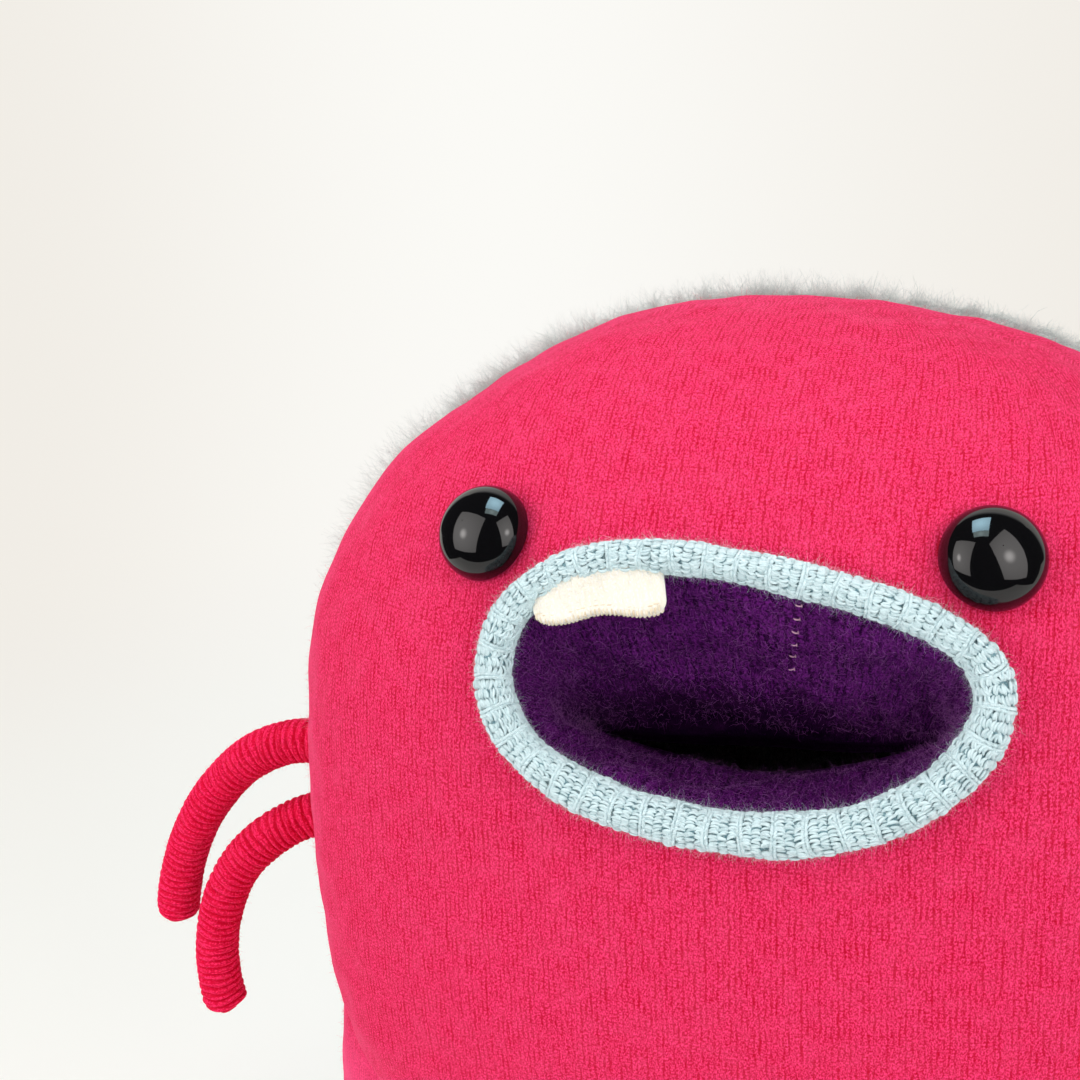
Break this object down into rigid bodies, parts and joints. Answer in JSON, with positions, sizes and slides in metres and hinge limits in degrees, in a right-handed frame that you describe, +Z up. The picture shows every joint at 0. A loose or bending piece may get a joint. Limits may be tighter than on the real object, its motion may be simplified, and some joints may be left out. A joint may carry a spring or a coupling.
{
  "type": "plush monster",
  "caption": "Stuffed knitted toy monster: round body on stubby legs, wide open mouth with a rolled lip and one tooth, domed eyes, and thin ribbed arms at the side seams.",
  "frame": {"origin": "on the floor under the middle of the object, at the middle of its bounding box seen from above", "axes": "+Z up; the face looks along -Y; +X runs to the viewer's right, from the toy's right-hand arms to its left-hand arms"},
  "size_m": [0.5406, 0.2641, 0.384],
  "materials": {
    "pink_knit": "felted knit, matte",
    "arm_knit": "ribbed knit, matte",
    "grey_knit": "brushed mohair knit, matte",
    "purple_knit": "felted lambswool, matte",
    "blue_knit": "chunky rib knit, matte",
    "cream_knit": "felted knit, matte",
    "fibrefill": "loose polyester fibre",
    "black_plastic": "gloss",
    "washer_plastic": "satin"
  },
  "bodies": {
    "torso": {"front_panel": "pink_knit", "back_panel": "grey_knit", "body_stuffing": "fibrefill", "mouth_lining": "purple_knit", "lip_band": "blue_knit", "sole_left": "pink_knit", "sole_right": "pink_knit", "eye_left": "black_plastic", "eye_right": "black_plastic", "eye_washer_left": "washer_plastic", "eye_washer_right": "washer_plastic"},
    "upper_left_arm": {"arm_upper_left": "arm_knit", "arm_upper_left_filling": "fibrefill"},
    "upper_right_arm": {"arm_upper_right": "arm_knit", "arm_upper_right_filling": "fibrefill"},
    "lower_left_arm": {"arm_lower_left": "arm_knit", "arm_lower_left_filling": "fibrefill"},
    "lower_right_arm": {"arm_lower_right": "arm_knit", "arm_lower_right_filling": "fibrefill"},
    "tooth": {"tooth_front": "cream_knit", "tooth_back": "cream_knit"}
  },
  "joints": [
    {"name": "upper_left_arm_lift", "type": "hinge", "parent": "torso", "child": "upper_left_arm", "pos_m": [-0.18108, -0.008, 0.2108], "axis": [0, 1, 0], "range_deg": [-10, 50], "stiffness_Nm_per_rad": 0.08},
    {"name": "upper_right_arm_lift", "type": "hinge", "parent": "torso", "child": "upper_right_arm", "pos_m": [0.18108, -0.008, 0.2108], "axis": [0, -1, 0], "range_deg": [-10, 50], "stiffness_Nm_per_rad": 0.08},
    {"name": "lower_left_arm_lift", "type": "hinge", "parent": "torso", "child": "lower_left_arm", "pos_m": [-0.18102, -0.008, 0.1812], "axis": [-0.314, 0.9494, 0], "range_deg": [-25, 22], "stiffness_Nm_per_rad": 0.08},
    {"name": "lower_right_arm_lift", "type": "hinge", "parent": "torso", "child": "lower_right_arm", "pos_m": [0.18102, -0.008, 0.1812], "axis": [-0.314, -0.9494, 0], "range_deg": [-25, 22], "stiffness_Nm_per_rad": 0.08},
    {"name": "tooth_flap", "type": "hinge", "parent": "torso", "child": "tooth", "pos_m": [-0.0356, -0.1066, 0.32027], "axis": [-0.9663, -0.058, -0.251], "range_deg": [-30, 15], "stiffness_Nm_per_rad": 0.004}
  ]
}
